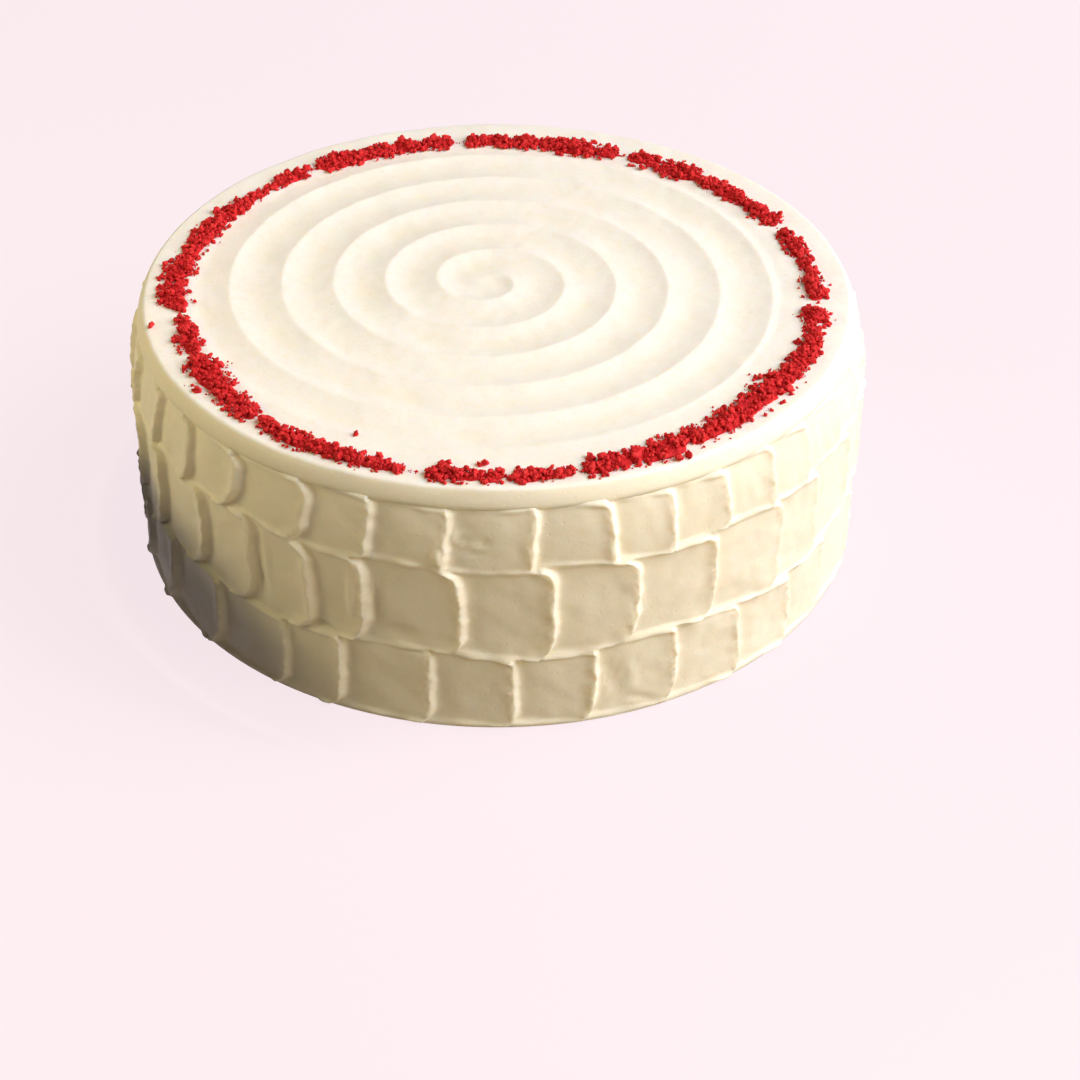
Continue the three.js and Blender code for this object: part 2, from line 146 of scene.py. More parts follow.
# Height of a border's ridge, and the share by which it is lower at a petal's left end.
RIDGE = {"rim": {"height": 0.5, "growth": 0.75}, "between": {"height": 0.75, "growth": 0.2}}
RIDGE_ROUGHNESS = (0.35, 9, 61)  # share of its height, wavelength and seed
LIP_ROUGHNESS = {"height": 0.11, "width": 1.5, "size": 2.0, "seed": 74}
# Slow swells of the icing, each with its height, wavelength and seed.
SIDE_SWELLS = [(0.12, 14, 71), (0.05, 5, 72)]
TOP_SWELLS = [(0.07, 16, 81), (0.03, 6, 82)]
# Drag marks round the cake, made long by squeezing the two level axes.
DRAGS = {"height": 0.012, "size": 2.6, "seed": 73, "squeeze": [0.2, 0.2, 1]}
FOOT_ROUNDING = {"out": 0.5, "up": 0.4}
MARK_SHARPNESS = 1.5
# Tears, dents and folds: places, half sizes along and across, and heights, in degrees and mm.
MARKS = [
    # The torn lip of the upper tier near the front, and the dents beside it.
    {"angle": -98.6, "level": 56.2, "long": 1.5, "wide": 2.4, "height": 1.0},
    {"angle": -96.3, "level": 62.0, "long": 0.9, "wide": 1.5, "height": 0.7, "turn": -20},
    {"angle": -95.9, "level": 60.0, "long": 0.5, "wide": 0.9, "height": 0.5},
    {"angle": -94.9, "level": 61.2, "long": 2.1, "wide": 1.0, "height": -0.6, "turn": -16},
    {"angle": -91.9, "level": 60.8, "long": 1.5, "wide": 0.9, "height": -0.65, "turn": 14},
    {"angle": -93.2, "level": 57.8, "long": 2.3, "wide": 0.8, "height": -0.5, "turn": 3},
    {"angle": -93.4, "level": 59.6, "long": 1.8, "wide": 0.8, "height": 0.5, "turn": -24},
    {"angle": -94.2, "level": 64.2, "long": 0.9, "wide": 1.4, "height": -0.35, "turn": 10},
    # The broad folded lip of the middle tier and the crease beside it.
    {"angle": -111.2, "level": 40.0, "long": 1.4, "wide": 8.0, "height": 0.9},
    {"angle": -107.7, "level": 38.0, "long": 0.9, "wide": 6.5, "height": -0.9},
    {"angle": -108.7, "level": 35.5, "long": 0.7, "wide": 5.0, "height": 0.55},
    # The hollow low in the petal right of it, and the fold under its lower edge.
    {"angle": -104.2, "level": 30.0, "long": 4.6, "wide": 2.3, "height": -0.75},
    {"angle": -101.0, "level": 25.2, "long": 6.0, "wide": 0.6, "height": -0.6, "turn": 2},
    {"angle": -116.2, "level": 26.8, "long": 3.0, "wide": 0.8, "height": -0.8, "bow": -0.9},
    # Raised left edge of a petal of the middle tier, and the crease left of it.
    {"angle": -125.6, "level": 41.0, "long": 0.8, "wide": 9.0, "height": 0.6, "turn": 8},
    {"angle": -127.4, "level": 36.0, "long": 0.9, "wide": 8.0, "height": -0.6, "turn": 6},
    # The scooped lower left corner of a petal at the foot.
    {"angle": -73.2, "level": 12.5, "long": 0.8, "wide": 7.5, "height": -0.8, "turn": 14},
    {"angle": -69.2, "level": 4.8, "long": 3.4, "wide": 0.8, "height": -0.7, "turn": -24},
    {"angle": -70.6, "level": 14.0, "long": 1.2, "wide": 6.5, "height": 0.6, "turn": 14},
]

TOP_COLUMNS = 440
# Rows of the spiral as shares of the way from one ridge to the next, closest at the ridges.
GROOVE_SAMPLES = [
    0, 0.02, 0.045, 0.08, 0.13, 0.19, 0.26, 0.34, 0.42,
    0.5, 0.58, 0.66, 0.74, 0.81, 0.87, 0.92, 0.955, 0.98,
]
RIDGE_ROUNDING = 0.5
SPIRAL_FADE = (82.0, 86.5)  # radii between which the grooves run out
SPIRAL_EDGE = 87.5
SPIRAL_MIDDLE = 9  # radius inside which the groove runs out into the hollow centre
SPIRAL_TURNS = (-2, 8)  # numbers of the turns that may cross a column
# Least distance of the spiral's rows from its edge and from its centre.
ROW_CLEARANCE = {"edge": 0.2, "centre": 0.9}
FLAT_RINGS = 9
RIM_ARC_END = 32  # degrees up from level where the rim's rounding gives way to the sloping band below
RIM_ARC_STEPS = 7
# The band under the rim: mm below the top, and mm outside the rim's radius; it ends hidden in the side.
BELOW_RIM = [
    (1.2, 0.1), (1.8, 0.43), (2.5, 0.78), (3.3, 1.12), (4.1, 1.36),
    (4.8, 1.45), (5.5, 1.1), (6.5, -1.2), (8, -6),
]
# In mm below the top: where its swells end, and where its colour turns to the painted warm shade of the
# side.
TOP_SWELLS_FADE = {"end": 2, "length": 1.5}
PAINTED_SHADE_FADE = {"start": 0.2, "length": 0.8}
# The ledge over the top ridge of the petals: mm up and mm inwards.
LEDGE = [(0.3, 0.1), (0.6, 0.35), (0.85, 0.8), (1.1, 1.35), (1.3, 1.95), (1.5, 6)]

# Waves in one layer of unevenness, and the spread of their number per mm.
WAVES = 28
WAVE_SPREAD = (0.7, 1.35)
# The minimal standard generator.
MULTIPLIER = 16807
MODULUS = 2147483647


def draws(seed):
    """The generator that the solid uses: each call gives a number between 0 and 1."""
    state = seed

    def draw():
        nonlocal state
        state = state * MULTIPLIER % MODULUS
        return state / MODULUS

    return draw


def spread(draw, size):
    return (2 * draw() - 1) * size


def bell(distance, width):
    return np.exp(-((distance / width) ** 2))


def smooth(share):
    share = np.clip(share, 0, 1)
    return share * share * (3 - 2 * share)


def rough(points, wavelength, seed):
    """Smooth unevenness with a spread of about 1: waves in all directions, with seeded phases."""
    rng = np.random.default_rng(seed)
    directions = rng.normal(size=(WAVES, points.shape[-1]))
    directions /= np.linalg.norm(directions, axis=1, keepdims=True)
    directions *= (2 * math.pi / wavelength) * rng.uniform(*WAVE_SPREAD, (WAVES, 1))
    phases = rng.uniform(0, 2 * math.pi, WAVES)
    total = np.zeros(points.shape[:-1])
    for direction, phase in zip(directions, phases):
        total += np.cos(points @ direction + phase)
    return total / math.sqrt(WAVES / 2)


def layered(points, layers):
    """Layers of unevenness added up, each with its height, wavelength and seed."""
    return sum(height * rough(points, wavelength, seed) for height, wavelength, seed in layers)


def degrees_round(points):
    return np.degrees(np.arctan2(points[:, 1], points[:, 0]))


def polar(radius, angle, z, centre=(0, 0)):
    turn = np.radians(angle)
    x = centre[0] + radius * np.cos(turn)
    y = centre[1] + radius * np.sin(turn)
    return np.stack(np.broadcast_arrays(x, y, z), axis=-1).astype(float)


# ---- Meshes ----


class Skin:
    """A closed surface in the making: points in mm and triangles facing out."""

    def __init__(self):
        self.blocks = []
        self.faces = []
        self.count = 0

    def add(self, points):
        """Adds points, in an array of any shape, and gives their numbers in the same shape."""
        flat = points.reshape(-1, 3)
        numbers = np.arange(self.count, self.count + len(flat)).reshape(points.shape[:-1])
        self.blocks.append(flat)
        self.count += len(flat)
        return numbers

    def band(self, lower, upper):
        """Two rings that share their columns."""
        lower_next = np.roll(lower, -1)
        upper_next = np.roll(upper, -1)
        self.faces.append(np.stack([lower, lower_next, upper_next], axis=1))
        self.faces.append(np.stack([lower, upper_next, upper], axis=1))

    def bands(self, rings):
        for lower, upper in zip(rings, rings[1:]):
            self.band(lower, upper)

    def fan(self, ring, centre):
        """A ring closed by triangles to one point; the ring runs anticlockwise seen from outside."""
        centres = np.full(len(ring), centre)
        self.faces.append(np.stack([ring, np.roll(ring, -1), centres], axis=1))

    def zip(self, first, second):
        """Joins two lines of points that run side by side, each time by the shorter diagonal."""
        points = np.concatenate(self.blocks)
        a = points[first].tolist()
        b = points[second].tolist()
        i = j = 0
        found = []
        while i < len(a) - 1 or j < len(b) - 1:
            first_step = math.dist(a[i + 1], b[j]) if i + 1 < len(a) else math.inf
            second_step = math.dist(a[i], b[j + 1]) if j + 1 < len(b) else math.inf
            if first_step <= second_step:
                found.append((first[i], first[i + 1], second[j]))
                i += 1
            else:
                found.append((first[i], second[j + 1], second[j]))
                j += 1
        self.faces.append(np.array(found))

    def zip_rings(self, first, second):
        points = np.concatenate(self.blocks)
        reach = np.linalg.norm(points[second] - points[first[0]], axis=1)
        turned = np.roll(second, -int(reach.argmin()))
        self.zip(np.append(first, first[0]), np.append(turned, turned[0]))

    def arrays(self):
        return np.concatenate(self.blocks), np.concatenate(self.faces)


def make_piece(name, points, faces, material, values=None):
    """A smooth mesh object from points in mm, riding on the cake's body; values are its attributes."""
    mesh = bpy.data.meshes.new(name)
    mesh.vertices.add(len(points))
    mesh.vertices.foreach_set("co", (points * MM).astype(np.float32).ravel())
    mesh.loops.add(faces.size)
    mesh.loops.foreach_set("vertex_index", faces.astype(np.int32).ravel())
    mesh.polygons.add(len(faces))
    mesh.polygons.foreach_set("loop_start", np.arange(0, faces.size, 3, dtype=np.int32))
    mesh.polygons.foreach_set("use_smooth", np.ones(len(faces), bool))
    for key, data in (values or {}).items():
        kind = "FLOAT" if data.ndim == 1 else "FLOAT_VECTOR"
        field = "value" if data.ndim == 1 else "vector"
        layer = mesh.attributes.new(key, kind, "POINT")
        layer.data.foreach_set(field, data.astype(np.float32).ravel())
    mesh.update(calc_edges=True)
    mesh.validate()
    mesh.materials.append(material)
    piece = bpy.data.objects.new(name, mesh)
    bpy.context.scene.collection.objects.link(piece)
    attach(piece, "root")
    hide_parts(NODE)
    return piece


# ---- Side: three tiers of petals ----


def lip_angles(lips, draw):
    front_span = lips[-1] - lips[0]
    hidden_span = FULL_TURN - front_span
    count = round(hidden_span / (front_span / (len(lips) - 1)))
    shares = [1 + spread(draw, WIDTH_SPREAD) for _ in range(count)]
    turned = hidden_span * np.cumsum(shares[:-1]) / sum(shares)
    return np.concatenate([lips, lips[-1] + turned])


def make_tier(index):
    draw = draws(TIERS[index]["seed"])
    angles = lip_angles(TIERS[index]["lips"], draw)
    corner_sizes, heights, slants = [], [], []
    for _ in angles:
        corner_sizes.append(1 + spread(draw, LIP_CORNER["size_spread"]))
        heights.append(LIP["height"] + spread(draw, LIP["height_spread"]))
        slants.append(spread(draw, LIP_SLANT))
    corners = []
    for corner in (TIERS[index]["top"], TIERS[index]["bottom"]):
        sizes = np.array(corner["sizes"] + corner_sizes[len(corner["sizes"]) :])
        corners.append((corner["across"] * sizes, corner["up"] * sizes))
    return {
        "seed": TIERS[index]["seed"],
        "angles": angles,
        "corners": corners,
        "heights": np.array(heights),
        "slants": np.array(slants),
        "top": BORDERS[index],
        "bottom": BORDERS[index + 1],
    }


def border_shift(border, angle):
    return border["depth"] * np.sin(np.radians(border["waves"] * angle + border["phase"]))


def hollow_radius(z):
    start, end = SHOULDER["start"], SHOULDER["end"]
    shoulder = np.maximum(0, z - start) / (end - start)
    return FOOT_RADIUS - LEAN * z / end - SHOULDER["rounded_in"] * shoulder**2


def row_levels(tier):
    """Level heights of a tier's rows, close together near its borders."""
    bottom, top = tier["bottom"]["level"], tier["top"]["level"]
    near = np.array(ROWS["near"])
    inner = top - bottom - 2 * near[-1]
    between = np.linspace(bottom + near[-1], top - near[-1], int(inner / ROWS["step"]) + 1)
    return np.concatenate([bottom + near, between[1:-1], (top - near)[::-1]])


def corner_turn(tier, below, above):
    """How far left the lips have turned, so far below the top border and above the bottom one."""
    turn = 0
    for (across, up), edge in zip(tier["corners"], [below, above]):
        share = np.maximum(0, 1 - edge / up)
        turn = turn + across * (1 - np.sqrt(1 - share**2))
    return turn


def corner_stretch(tier, below, above):
    """How much wider than square across a level line cuts the lips, where they turn."""
    moved = corner_turn(tier, below + SLOPE_STEP, above - SLOPE_STEP) - corner_turn(tier, below, above)
    return np.hypot(1, np.minimum(np.abs(moved) / SLOPE_STEP, STEEPEST_TURN))


def places_from_lip(width):
    """Columns of petals of these widths, in mm left of their lips."""
    after = width[:, None] - np.array(COLUMNS["after"])
    before = np.broadcast_to(COLUMNS["before"], (len(width), len(COLUMNS["before"])))
    shares = np.linspace(0, 1, COLUMNS["between"] + 2)[1:-1]
    between = after[:, -1:] + (before[:, :1] - after[:, -1:]) * shares
    return np.concatenate([after, between, before], axis=1)


def lip_wobble(tier, level):
    """Unevenness along the lips' lines, in mm, one value for each petal."""
    count = len(tier["angles"])
    places = np.stack([np.arange(count) * LIP_WOBBLE["lip_spacing"], np.full(count, level)], axis=1)
    layers = [(share, size, tier["seed"] + k) for k, (share, size) in enumerate(LIP_WOBBLE["layers"])]
    return LIP_WOBBLE["size"] * layered(places, layers)


def petal_row(tier, level):
    """The points of one row of a tier."""
    top, bottom = tier["top"], tier["bottom"]
    height = top["level"] - bottom["level"]
    above, below = level - bottom["level"], top["level"] - level
    edge = min(above, below)
    degrees = math.degrees(1 / hollow_radius(level))
    slant = (level - (top["level"] + bottom["level"]) / 2) / height
    lip_line = tier["angles"] + tier["slants"] * slant
    start = np.roll(lip_line, 1)
    start[0] -= FULL_TURN
    width = (lip_line - start) / degrees
    from_lip = places_from_lip(width)
    from_start = width[:, None] - from_lip

    turn = corner_turn(tier, below, above) + lip_wobble(tier, level)
    stretch = corner_stretch(tier, below, above)
    near, far = TURN_FADE
    follows = smooth((far - from_lip) / (far - near))
    follows_start = smooth((far - from_start) / (far - near))
    turned = turn[:, None] * follows + np.roll(turn, 1)[:, None] * follows_start
    angle = lip_line[:, None] - (from_lip + turned) * degrees

    panel_share = from_lip / width[:, None]
    panel = PETAL_RISE["right"] + (PETAL_RISE["left"] - PETAL_RISE["right"]) * panel_share
    square_left = from_lip / stretch[:, None]
    lip = (tier["heights"][:, None] - panel) / (1 + (square_left / LIP["fall"]) ** LIP["sharpness"])
    hollow = STEP_HOLLOW["depth"] * bell(from_start - STEP_HOLLOW["place"], STEP_HOLLOW["width"])
    near_border = bell(above, LIP_CORNER["dip_reach"]) + bell(below, LIP_CORNER["dip_reach"])
    relief = (panel + lip - hollow) * (1 - LIP_CORNER["dip"] * near_border)

    foot = COLUMNS["after"].index(STEP_WIDTH)
    down = smooth(from_start[:, :foot] / STEP_WIDTH)
    crest = np.roll(relief[:, -1], 1)[:, None]
    relief[:, :foot] = crest + (relief[:, foot : foot + 1] - crest) * down

    crest = bell(from_lip, LIP_ROUGHNESS["width"]) + bell(from_start, LIP_ROUGHNESS["width"])
    lip_share = crest.ravel()
    angle = angle.ravel()
    relief = relief.ravel()
    share = above / height
    z = level + border_shift(bottom, angle) * (1 - share) + border_shift(top, angle) * share
    around = polar(FOOT_RADIUS, angle, z)
    uneven = 1 + layered(around, [RIDGE_ROUGHNESS])
    kind = RIDGE["rim" if top is BORDERS[0] and below < above else "between"]
    ridge = kind["height"] * bell(edge - BORDER_RIDGE["half_land"], BORDER_RIDGE["width"])
    grows = 1 - kind["growth"] * panel_share.ravel()
    relief = relief + ridge * uneven * grows + side_unevenness(around) + marks_relief(around, lip_share)
    return polar(hollow_radius(z) + relief, angle, z)


def side_unevenness(around):
    """Slow swells, and drag marks that run round the cake."""
    drags = DRAGS["height"] * rough(around * DRAGS["squeeze"], DRAGS["size"], DRAGS["seed"])
    return layered(around, SIDE_SWELLS) + drags


def marks_relief(around, lip_share):
    """Tears and dents of single petals, and the fine roughness of their lips."""
    fine = rough(around, LIP_ROUGHNESS["size"], LIP_ROUGHNESS["seed"])
    total = LIP_ROUGHNESS["height"] * lip_share * fine
    angle = degrees_round(around)
    for mark in MARKS:
        off = (angle - mark["angle"] + HALF_TURN) % FULL_TURN - HALF_TURN
        across = np.radians(off) * FOOT_RADIUS
        up = around[:, 2] - mark["level"]
        turn = math.radians(mark.get("turn", 0))
        along = (across * math.cos(turn) + up * math.sin(turn)) / mark["long"]
        beside = (up * math.cos(turn) - across * math.sin(turn)) / mark["wide"]
        if "bow" in mark:
            beside = beside - mark["bow"] * (along**2)
        total = total + mark["height"] * np.exp(-(along**2 + beside**2) ** MARK_SHARPNESS)
    return total


def make_side(material):
    skin = Skin()
    tiers = []
    for index in reversed(range(len(TIERS))):
        tier = make_tier(index)
        rings = [skin.add(petal_row(tier, level)) for level in row_levels(tier)]
        skin.bands(rings)
        tiers.append(rings)
    for lower, upper in zip(tiers, tiers[1:]):
        skin.zip_rings(lower[-1], upper[0])
    close_foot(skin, tiers[0][0])
    close_under_rim(skin, tiers[-1][-1])
    points, faces = skin.arrays()
    # The side attribute paints the warm shade colour of the icing over the whole side.
    values = {"stroke": stroke_places(points), "side": np.ones(len(points))}
    piece = make_piece("icing_side", points, faces, material, values)


def ring_like(skin, ring, radius, z):
    """A ring with the same angles as another one."""
    angle = degrees_round(np.concatenate(skin.blocks)[ring])
    return skin.add(polar(radius, angle, np.full(len(ring), z)))


def close_foot(skin, lowest):
    rounded = ring_like(skin, lowest, BASE_RADIUS + FOOT_ROUNDING["out"], FOOT_ROUNDING["up"])
    outer = ring_like(skin, lowest, BASE_RADIUS, 0)
    skin.bands([outer, rounded, lowest])
    centre = skin.add(np.zeros((1, 3)))[0]
    skin.fan(outer[::-1], centre)


def close_under_rim(skin, highest):
    """The top ridge's upper side, and a hidden face inside the rim."""
    points = np.concatenate(skin.blocks)[highest]
    crest = np.hypot(points[:, 0], points[:, 1])
    z = points[:, 2]
    angle = degrees_round(points)
    rings = [highest]
    for lift, inwards in LEDGE:
        rings.append(skin.add(polar(crest - inwards, angle, z + lift)))
    skin.bands(rings)
    centre = skin.add(np.array([[0, 0, BORDERS[0]["level"]]]))[0]
    skin.fan(rings[-1], centre)


def stroke_places(points):
    """Places for streaks: round the cake, outwards and up, in mm."""
    turn = np.arctan2(points[:, 1], points[:, 0])
    radius = np.hypot(points[:, 0], points[:, 1])
    return np.stack([turn * FOOT_RADIUS, radius, points[:, 2]], axis=1)


# ---- Top: rim, flat icing and spiral ----


def spiral_height(radius, angle):
    """Height over the flat icing at a place given from the spiral's centre."""
    pitch, depth = SPIRAL["pitch"], SPIRAL["depth"]
    ridge = SPIRAL["start_radius"] - pitch * angle / FULL_TURN
    share = np.mod((ridge - radius) / pitch, 1)
    from_ridge = np.minimum(share, 1 - share) * pitch
    rounded = np.sqrt(from_ridge**2 + RIDGE_ROUNDING**2) - RIDGE_ROUNDING
    groove = 4 * rounded / pitch * (1 - rounded / pitch)
    height = SPIRAL["ridge_height"] - depth * groove
    fade = smooth((SPIRAL_FADE[1] - radius) / (SPIRAL_FADE[1] - SPIRAL_FADE[0]))
    middle = smooth(radius / SPIRAL_MIDDLE)
    return (height * middle - SPIRAL["centre_depth"] * (1 - middle)) * fade


def spiral_radii(angle):
    """Radii of one column of the top, from the edge of the spiral in, closest on the ridges."""
    pitch = SPIRAL["pitch"]
    ridge = SPIRAL["start_radius"] - pitch * angle / FULL_TURN
    turns = np.arange(*SPIRAL_TURNS)[:, None]
    radii = (ridge - pitch * (turns + np.array(GROOVE_SAMPLES))).ravel()
    inside = radii[(radii < SPIRAL_EDGE - ROW_CLEARANCE["edge"]) & (radii > ROW_CLEARANCE["centre"])]
    return np.concatenate([[SPIRAL_EDGE], np.sort(inside)[::-1]])


def make_top(material):
    skin = Skin()
    angles = np.arange(TOP_COLUMNS) * FULL_TURN / TOP_COLUMNS
    columns = []
    for angle in angles:
        radii = spiral_radii(angle)
        points = polar(radii, angle, TOP_LEVEL + spiral_height(radii, angle), SPIRAL["centre"])
        columns.append(skin.add(points))
    centre = skin.add(np.array([[*SPIRAL["centre"], TOP_LEVEL - SPIRAL["centre_depth"]]]))[0]
    columns = [np.append(column, centre) for column in columns]
    for column, following in zip(columns, columns[1:] + columns[:1]):
        skin.zip(following, column)

    rings = [np.array([column[0] for column in columns])]
    flat_edge = RIM["radius"] - RIM["rounding"]
    for share in np.linspace(0, 1, FLAT_RINGS + 1)[1:]:
        middle = np.array(SPIRAL["centre"]) * (1 - share)
        radius = SPIRAL_EDGE + (flat_edge - SPIRAL_EDGE) * share
        rings.append(skin.add(polar(radius, angles, np.full(TOP_COLUMNS, TOP_LEVEL), middle)))
    for turn in np.linspace(QUARTER_TURN, RIM_ARC_END, RIM_ARC_STEPS + 1)[1:]:
        out = flat_edge + RIM["rounding"] * math.cos(math.radians(turn))
        down = RIM["rounding"] * (1 - math.sin(math.radians(turn)))
        rings.append(skin.add(polar(out, angles, np.full(TOP_COLUMNS, TOP_LEVEL - down))))
    for down, outwards in BELOW_RIM:
        levels = np.full(TOP_COLUMNS, TOP_LEVEL - down)
        rings.append(skin.add(polar(RIM["radius"] + outwards, angles, levels)))
    skin.bands(rings[::-1])
    below = skin.add(np.array([[0, 0, TOP_LEVEL - BELOW_RIM[-1][0]]]))[0]
    skin.fan(rings[-1][::-1], below)

    points, faces = skin.arrays()
    shown = smooth((points[:, 2] - (TOP_LEVEL - TOP_SWELLS_FADE["end"])) / TOP_SWELLS_FADE["length"])
    points[:, 2] += shown * layered(points * [1, 1, 0], TOP_SWELLS)
    # The side attribute paints the warm shade colour where the band runs down from the top.
    below_start = TOP_LEVEL - PAINTED_SHADE_FADE["start"] - points[:, 2]
    values = {"stroke": stroke_places(points), "side": smooth(below_start / PAINTED_SHADE_FADE["length"])}
    piece = make_piece("icing_top", points, faces, material, values)


# ---- Crumbs ----

# The heap of loose crumbs. Unevenness here and below is given as share or mm, wavelength and seed.
PILE = {
    "peak": 1.9,
    "full_half_width": 3.2,
    "crown": 0.6,
    "mean": 0.85,
    "uneven": (0.22, 6, 91),
}
BED = {
    "columns": 720,
    "rows": 15,
    "width": 0.86,
    "below_pile": 0.6,
    "sunk": 0.6,
    "edge_sharpness": 6,
    "bumps": (0.35, 1.9, 92),
}
# Gaps and notches of the ring, where it narrows to this share of its width. They are those of the
# solid, with the last three cut deeper.
RING_GAPS = [
    {"angles": [21, 63, 98, 130, 190.5, 257.5, 352.5], "half_angle": 1.6, "width": 0.25},
    {"angles": [45, 112, 205, 301], "half_angle": 0.8, "width": 0.5},
    {"angles": [228, 271.5, 282.5], "half_angle": 0.8, "width": 0.2},
]
# In half angles of a gap: where its narrowing ends, and over what length.
GAP_FADE = {"end": 1.5, "length": 0.8}
# Crumbs that fell beside the ring one by one: angle and radius.
FALLEN = [
    (193.9, 99.2), (215.3, 98.1), (244.4, 85.3), (260.8, 91.4),
    (262.0, 91.0), (267.0, 90.8), (267.9, 90.0),
]
# The loose crumbs by size: radii in mm, and how often each ball's faces are split.
CRUMBS = [
    {
        "name": "crumbs_coarse",
        "count": 340,
        "sizes": (0.7, 1.15),
        "splits": 3,
        "seed": 901,
        "placed": FALLEN,
    },
    {
        "name": "crumbs_medium",
        "count": 2200,
        "sizes": (0.38, 0.7),
        "splits": 2,
        "seed": 902,
        "placed": [],
    },
    {
        "name": "crumbs_fine",
        "count": 6400,
        "sizes": (0.16, 0.38),
        "splits": 1,
        "seed": 903,
        "placed": [],
    },
]
# Where loose crumbs lie, in half widths of the ring, and how high they lie on the heap.
SCATTER = {
    "reach": 1.25,
    "stray_share": 0.04,
    "stray_stretch": 1.25,
    "least_half_width": 1.3,
    "ragged": (0.45, 4.0, 93),
    "height": (0.75, 1.05),
    "least_height": 0.45,
}
# Shape of a crumb: layers of bulges, how far apart the crumbs lie in them, and the stretch of its axes.
CRUMB_SHAPE = {"bulges": [(0.22, 2.2, 94), (0.17, 0.9, 95)], "apart": 400, "stretch": (0.68, 1.15)}


def ring_size(angle, key):
    """The ring's middle radius or half width, running evenly from each listed angle to the next."""
    places = [place["angle"] for place in CRUMB_RING]
    return np.interp(angle, places, [place[key] for place in CRUMB_RING], period=FULL_TURN)


def ring_half_width(angle):
    width = ring_size(angle, "half_width")
    for waves, depth, phase in RING_WAVES:
        width = width + depth * np.sin(np.radians(waves * angle + phase))
    for gap in RING_GAPS:
        nearest = np.min([np.abs(angle % FULL_TURN - middle) for middle in gap["angles"]], axis=0)
        reach = gap["half_angle"] * GAP_FADE["end"]
        narrow = smooth((reach - nearest) / (gap["half_angle"] * GAP_FADE["length"]))
        width = width * (1 - (1 - gap["width"]) * narrow)
    return width


def ring_place(across, angle, half_width):
    return polar(ring_size(angle, "radius") + across * half_width, angle, 0.0)


def pile_height(across, places, half_width):
    full = np.minimum(1, half_width / PILE["full_half_width"])
    crown = np.clip(1 - across**2, 0, 1) ** PILE["crown"]
    return PILE["peak"] * full * crown * (PILE["mean"] + layered(places, [PILE["uneven"]]))


def make_bed(material):
    """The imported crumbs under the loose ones: a ragged ring with a bumpy back."""
    skin = Skin()
    angles = np.arange(BED["columns"]) * FULL_TURN / BED["columns"]
    half_width = ring_half_width(angles)
    rings = []
    for share in np.linspace(1, -1, BED["rows"]):
        across = share * BED["width"]
        places = ring_place(across, angles, half_width)
        height = pile_height(np.full(len(angles), across), places, half_width) - BED["below_pile"]
        bumps = layered(places, [BED["bumps"]])
        edge = 1 - abs(share) ** BED["edge_sharpness"]
        places[:, 2] = TOP_LEVEL - BED["sunk"] + (height + BED["sunk"] + bumps) * edge
        rings.append(skin.add(places))
    skin.bands(rings)
    skin.band(rings[-1], rings[0])
    points, faces = skin.arrays()
    values = {"tone": np.zeros(len(points))}
    piece = make_piece("crumb_bed", points, faces, material, values)


def ball(splits):
    """A unit ball of triangles as points and faces."""
    form = bmesh.new()
    bmesh.ops.create_icosphere(form, subdivisions=splits, radius=1)
    points = np.array([corner.co[:] for corner in form.verts])
    faces = np.array([[corner.index for corner in face.verts] for face in form.faces])
    form.free()
    return points, faces


def random_turns(rng, count):
    """Rotation matrices evenly spread over all directions."""
    w, x, y, z = rng.normal(size=(count, 4)).T
    length = np.sqrt(w * w + x * x + y * y + z * z)
    w, x, y, z = w / length, x / length, y / length, z / length
    rows = [
        [1 - 2 * (y * y + z * z), 2 * (x * y - z * w), 2 * (x * z + y * w)],
        [2 * (x * y + z * w), 1 - 2 * (x * x + z * z), 2 * (y * z - x * w)],
        [2 * (x * z - y * w), 2 * (y * z + x * w), 1 - 2 * (x * x + y * y)],
    ]
    return np.moveaxis(np.array(rows), 2, 0)


def scatter_places(rng, count):
    """Seeded places over the ring: densest along its middle, ragged at its edges, a few astray."""
    found = []
    missing = count
    while missing > 0:
        angle = rng.uniform(0, FULL_TURN, missing * 2)
        across = rng.uniform(-SCATTER["reach"], SCATTER["reach"], missing * 2)
        half_width = ring_half_width(angle)
        places = ring_place(across, angle, half_width)
        reach = 1 + layered(places, [SCATTER["ragged"]])
        inside = np.abs(across) < reach * (half_width > SCATTER["least_half_width"])
        stray = rng.uniform(size=len(angle)) < SCATTER["stray_share"]
        keep = inside | stray
        across = np.where(stray & ~inside, across * SCATTER["stray_stretch"], across)
        rows = np.stack([angle, across], axis=1)[keep]
        found.append(rows[:missing])
        missing -= len(found[-1])
    return np.concatenate(found).T


def make_crumbs(kind, material):
    rng = np.random.default_rng(kind["seed"])
    count = kind["count"]
    shape, shape_faces = ball(kind["splits"])
    sizes = rng.uniform(*kind["sizes"], count)
    angle, across = scatter_places(rng, count)
    for k, (placed_angle, radius) in enumerate(kind["placed"]):
        angle[k] = placed_angle
        across[k] = (radius - ring_size(placed_angle, "radius")) / ring_half_width(placed_angle)
    half_width = ring_half_width(angle)
    centres = ring_place(across, angle, half_width)
    heap = pile_height(np.clip(across, -1, 1), centres, half_width)
    lifts = heap * rng.uniform(*SCATTER["height"], count)
    centres[:, 2] = TOP_LEVEL + np.maximum(lifts, sizes * SCATTER["least_height"])

    offsets = rng.uniform(0, CRUMB_SHAPE["apart"], (count, 1, 3))
    bulge = 1 + layered(shape + offsets, CRUMB_SHAPE["bulges"])
    stretch = rng.uniform(*CRUMB_SHAPE["stretch"], (count, 1, 3))
    points = shape * bulge[..., None] * stretch * sizes[:, None, None]
    points = np.einsum("nij,nkj->nki", random_turns(rng, count), points) + centres[:, None]
    faces = shape_faces + (np.arange(count) * len(shape))[:, None, None]
    tone = np.repeat(rng.uniform(0, 1, count), len(shape))
    piece = make_piece(kind["name"], points.reshape(-1, 3), faces.reshape(-1, 3), material, {"tone": tone})


# ---- Materials ----


